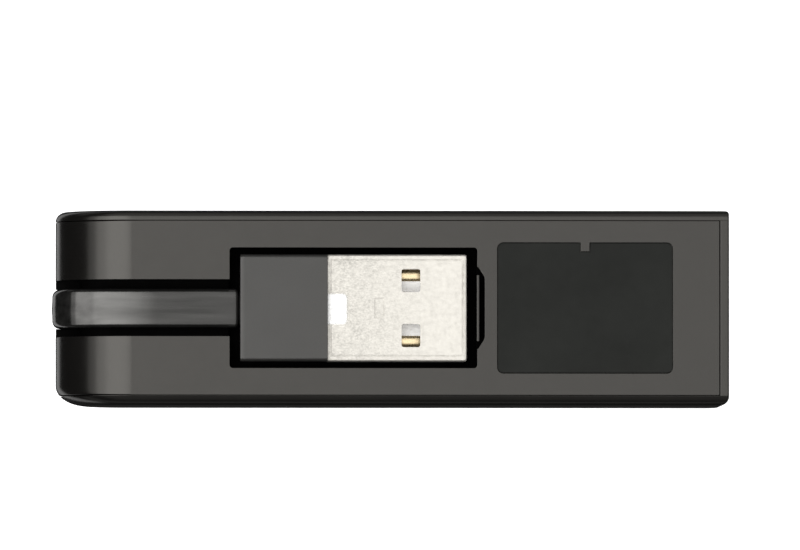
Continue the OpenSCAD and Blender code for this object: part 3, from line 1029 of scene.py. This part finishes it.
def build_pins():
    """Square pins with pyramid points, each bent down to the board behind the block."""
    board_top, tip, bend_r = PORT_Z - PIN_PITCH, PORT_U + PIN_OUT, 0.45
    half = PIN_HALF_T
    skins = []
    for y, z, row in pin_places():
        # The upper row reaches the board farther back
        foot = PORT_U - PIN_PITCH - 1.5 - (row + 1) * 0.9 + half
        rings = [pin_ring(foot, y, board_top, 180, half)]
        for angle in (180, 157, 135, 112, 90):
            a = math.radians(angle)
            u, height = foot + bend_r + bend_r * math.cos(a), z - bend_r + bend_r * math.sin(a)
            rings.append(pin_ring(u, y, height, angle, half))
        for back, share in ((0.9, 1), (0.35, 0.78), (0, 0.35)):
            rings.append(pin_ring(tip - back, y, z, 90, half * share))
        skins.append(loft(rings))
    mesh = joined("pins", skins)
    finish_piece("input_pin_rows", mesh, gold_flash, "case", ["input_pins"], merge=1e-6)


def build_lens():
    """The light pipe of the status light, in the back face."""
    gap, half = 0.05, LENS_HALF_W - 0.05
    mesh = box_mesh(LENS_U[0] + gap, LENS_U[1] - gap, -half, half, gap, FLOOR_T + 1, 0.25)
    finish_piece(
        "status_light_pipe", soften(mesh, 0.08), lens_clear, "case", ["status_lens"]
    )


# ---------- lead ----------

# Steps along each of the bend's three stretches
LINK_STEPS = 28


def lead_section(half_w=LEAD_HALF_W, half_t=LEAD_HALF_T, r=0.4, crown=0.17):
    """Section of the flat lead as (across, outwards): round edges, a crown and a faint ridge."""
    steps = 7
    outline = rounded(-half_w, half_w, -half_t, half_t, r, steps)
    upper = [(y * half_w, half_t) for y in (0.62, 0.3, 0.08, 0, -0.08, -0.3, -0.62)]
    lower = [(y, -n) for y, n in reversed(upper)]
    right = 2 * (steps + 1)
    section = []
    for y, n in outline[:right] + upper + outline[right:] + lower:
        beside_ridge = 0.05 * (1 - math.exp(-((y / 0.35) ** 2))) if n >= 0 else 0
        section.append((y, n - n / half_t * crown * (y / half_w) ** 2 - beside_ridge))
    return section


def flattening(s):
    """How far the lead's outer face sinks, at a distance s along it beyond the bend's end."""
    return 0.42 * smooth_step((s + 6) / 3.4) * (1 - smooth_step((s + 2.6) / 8))


def bend_place(angle):
    """(u, z, outward u, outward z, s) on the lead's middle line, at an angle from its exit."""
    a = math.radians(angle)
    out_u, out_z = -math.sin(a), -math.cos(a)
    s = (BEND_R + LEAD_HALF_T) * (a - math.pi)
    return (BEND_U + BEND_R * out_u, BEND_Z + BEND_R * out_z, out_u, out_z, s)


def lead_rings(stations):
    """Sections of the lead, which have less crown and rounder edges where it bends."""
    rings = []
    for u, z, out_u, out_z, s in stations:
        crown = 0.05 + 0.12 * smooth_step((s + 9) / 5)
        edge_r = 0.8 - 0.4 * smooth_step((s + 9) / 4)
        sink = flattening(s)
        section = [(y, n - sink if n > 0 else n) for y, n in lead_section(r=edge_r, crown=crown)]
        rings.append([(u + out_u * n, y, z + out_z * n) for y, n in section])
    return rings


def lead_stretch(name, stations, body=None, blend=None, replaces=()):
    """A stretch of the jacket, which rides on a body, or with a blend is left unattached in the
    shared frame.
    """
    mesh = new_mesh(name, *loft(lead_rings(stations)))
    obj = finish_piece(name, mesh, lead_jacket, body, replaces, 50, merge=1e-6)
    if blend:
        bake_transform(obj)


def chord(first, last, margin):
    """Ends of a blend between two stations, moved inwards by a share of their distance."""
    p, q = Vector(place(first[0], 0, first[1])), Vector(place(last[0], 0, last[1]))
    return tuple(p + (q - p) * margin), tuple(q + (p - q) * margin)


def build_bend():
    """The lead from inside the case, and round its bend in three stretches."""
    s = -(BEND_R + LEAD_HALF_T) * math.pi
    tail = [(u, EXIT_Z, 0, -1, s) for u in (TAIL_END_U, 10, BEND_U)]
    lead_stretch("lead_tail_jacket", tail, "case", replaces=["lead_tail"])
    chain = ["case", "lead_link_1", "lead_link_2", "lead_run"]
    for k, nodes in enumerate((["lead_link_1"], ["lead_link_2"], [])):
        stations = [bend_place(60 * (k + i / LINK_STEPS)) for i in range(LINK_STEPS + 1)]
        start, end = chord(stations[0], stations[-1], 0.14)
        blend = (chain[k], chain[k + 1], start, end)
        lead_stretch(f"lead_bend_jacket_{k + 1}", stations, blend=blend, replaces=nodes)


def build_run():
    """The straight lead, the stretch that flexes behind the plug, and the core beyond it."""
    run = [BEND_U + i / 4 for i in range(23)] + [14, FLEX_U]
    stations = [(u, RUN_Z, 0, 1, u - BEND_U) for u in run]
    lead_stretch("lead_run_jacket", stations, "lead_run", replaces=["lead_run"])
    end_r = 0.35
    stations = [(u, 0.0) for u in (FLEX_U, 18.8, 19.1, 19.4, 19.7, 19.95, 20.15)]
    for angle in (20, 40, 60, 75, 90):
        a = math.radians(angle)
        stations.append((JACKET_END_U - end_r + end_r * math.sin(a), end_r * (1 - math.cos(a))))
    section = lead_section()
    rings = []
    for u, inset in stations:
        k_y, k_n = 1 - inset / LEAD_HALF_W, 1 - inset * 0.45 / LEAD_HALF_T
        rings.append([(u, y * k_y, RUN_Z + n * k_n) for y, n in section])
    mesh = new_mesh("flex", *loft(rings))
    obj = finish_piece(
        "lead_flex_jacket", mesh, lead_jacket, smooth_angle=50, merge=1e-6
    )
    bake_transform(obj)
    core = [(y, RUN_Z + n) for y, n in lead_section(1.75, 0.95, 0.5, 0.05)]
    mesh = along_u(core, 20.2, 22.5)
    finish_piece("lead_core_stub", mesh, lead_core, "plug", ["plug_stub"], 50)


# ---------- plug ----------


def build_overmould():
    """Block moulded round the plug's root: round edges, and a heel cut away under its rear."""
    u0, u1 = OVERMOULD_U
    low, high = RUN_Z - OVERMOULD_HALF_T, RUN_Z + OVERMOULD_HALF_T
    # (u, how much smaller all round)
    stations = [(u0 + du, inset) for du, inset in ((0, 0.12), (0.03, 0.05), (0.12, 0), (0.6, 0))]
    stations += [(u0 + du, 0) for du in (HEEL_L, 4, 7)]
    stations += [(u1 - 0.08, 0), (u1 - 0.02, 0.03), (u1, 0.08)]
    rings = []
    for u, inset in stations:
        rise = max(0, HEEL_H * (1 - (u - u0) / HEEL_L))
        half = OVERMOULD_HALF_W - inset
        outline = rounded(-half, half, low + rise + inset, high - inset, 0.42 - inset / 2, 7)
        rings.append([(u, y, z) for y, z in outline])
    mesh = new_mesh("overmould", *loft(rings))
    finish_piece(
        "plug_overmould_block", mesh, overmould_skin, "plug", ["plug_overmould"]
    )


def groove_frame(u0, u1, y0, y1, width, z0, z1):
    """A rectangular frame, to cut a groove with."""
    r = 0.35
    outer = rounded(u0, u1, y0, y1, r, 3)
    inner = rounded(u0 + width, u1 - width, y0 + width, y1 - width, r - width, 3)
    levels = ((outer, z0), (outer, z1), (inner, z1), (inner, z0))
    rings = [[(u, y, z) for u, y in line] for line, z in levels]
    return new_mesh("frame", *loft(rings, endless=True))


def shell_ring(u, inset):
    """Section of the shell's tube, smaller by an inset all round."""
    half_w, half_t = PLUG_HALF_W - inset, PLUG_HALF_T - inset
    return [(u, y, RUN_Z + z) for y, z in rounded(-half_w, half_w, -half_t, half_t, 0.24, 8)]


def build_plug_shell():
    """Folded sheet: a tube with round corners, a drawn-in tip, windows and a lock window."""
    outer = ((0.4, 0.0), (0.15, 0.02), (0.06, 0.06), (0.015, 0.12), (0, 0.18))
    inner = ((0.02, 0.1), (0.3, 0.03), (0.6, 0))
    rings = [shell_ring(ROOT_U, 0), shell_ring(SHELL_U, 0)]
    rings += [shell_ring(TIP_U - back, inset) for back, inset in outer]
    rings += [shell_ring(TIP_U - back, SHEET_T + inset) for back, inset in inner]
    rings.append(shell_ring(ROOT_U, SHEET_T))
    mesh = new_mesh("shell", *loft(rings, endless=True))
    top, half = SHELL_TOP, FRAME_HALF_W
    near, far = WINDOW_Y
    cutters = [
        box_mesh(*WINDOW_U, -far, -near, RUN_Z - 4, RUN_Z + 4, 0.28),
        box_mesh(*WINDOW_U, near, far, RUN_Z - 4, RUN_Z + 4, 0.28),
        box_mesh(*LOCK_U, *LOCK_Y, top - 1, top + 1, 0.5, 6),
        box_mesh(*DIMPLE_U, -DIMPLE_HALF_W, DIMPLE_HALF_W, top - DIMPLE_DEPTH, top + 1, 0.12, 3),
        groove_frame(SHELL_U + 0.24, TIP_U - 0.36, -half, half, 0.2, top - 0.2, top + 0.5),
    ]
    mesh = combine(mesh, cutters, "DIFFERENCE")
    mesh = soften(flat_dissolve(mesh), 0.05, 50)
    finish_piece("plug_shell_sheet", mesh, plug_tin, "plug", ["plug_shell"], 40)


def build_tongue():
    """Nylon tongue and root block, with a groove for each contact."""
    low, high = SHELL_INSIDE[0] + 0.01, SHELL_INSIDE[1] - 0.01
    half = PLUG_HALF_W - SHEET_T - 0.02
    tongue = box_mesh(ROOT_U, TIP_U - 0.4, -half, half, low, TONGUE_TOP, 0.2, 3)
    block = box_mesh(ROOT_U, SHELL_U + 3.6, -half, half, low, high, 0.2, 3)
    mesh = combine(tongue, [block], "UNION")
    grooves = []
    for y, half_w in CONTACTS:
        y0, y1 = y - half_w - 0.04, y + half_w + 0.04
        z0, z1 = TONGUE_TOP - 0.35, TONGUE_TOP + 3
        grooves.append(box_mesh(SHELL_U + 3.0, TIP_U - 1, y0, y1, z0, z1, 0.2, 3))
    mesh = combine(mesh, grooves, "DIFFERENCE")
    mesh = soften(flat_dissolve(mesh), 0.06)
    finish_piece("plug_tongue", mesh, insulator_nylon, "plug", ["plug_insulator"])


def build_lock_pad():
    """The white nylon pad in the shell's lock window."""
    gap = 0.1
    y0, y1 = LOCK_Y[0] + gap, LOCK_Y[1] - gap
    pad = box_mesh(
        LOCK_U[0], LOCK_U[1] - gap, y0, y1, SHELL_INSIDE[1] - 0.1, SHELL_TOP - 0.06, 0.45, 6
    )
    finish_piece("plug_lock_pad", soften(pad, 0.05), lock_nylon, "plug", ())


def build_contacts():
    """Four sprung contacts with round tops, each bowed upwards along its length."""
    u0, u1 = SHELL_U + 3.4, TIP_U - 1.3
    height, bow, steps = 0.2, 0.22, 12
    skins = []
    for y, half_w in CONTACTS:
        round_top = [(half_w * m, height * n) for m, n in arc(0, 0, 1, 0, 180, 12)]
        outline = [(half_w, -height)] + round_top + [(-half_w, -height)]
        rings = []
        for k in range(steps + 1):
            t = k / steps
            z = TONGUE_TOP - 0.2 + bow * math.sin(math.pi * t)
            rings.append([(u0 + (u1 - u0) * t, y + m, z + n) for m, n in outline])
        skins.append(loft(rings))
    mesh = joined("contacts", skins)
    finish_piece(
        "plug_spring_contacts", mesh, gold_flash, "plug", ["plug_contacts"], 50, merge=1e-6
    )


# ---------- everything ----------

build_shell()
build_cover()
build_shoulders()
build_nose()
build_label()
build_port()
build_pin_block()
build_pins()
build_lens()
build_bend()
build_run()
build_overmould()
build_plug_shell()
build_tongue()
build_lock_pad()
build_contacts()

# CAD nodes that are shown as they are
INSIDE = {
    "case_screws": screw_zinc,
    "board_screws": screw_zinc,
    "main_board": board_green,
    "usb_controller": chip_black,
    "input_buffers": chip_black,
    "memory_chip": chip_black,
    "voltage_regulator": chip_black,
    "resistors": chip_black,
    "crystal": screw_zinc,
    "capacitors": ceramic,
    "status_led": ceramic,
    "lead_grommet": port_plastic,
    "lead_wires": wire_red,
}
for node, material in INSIDE.items():
    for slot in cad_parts[node].material_slots:
        slot.material = material
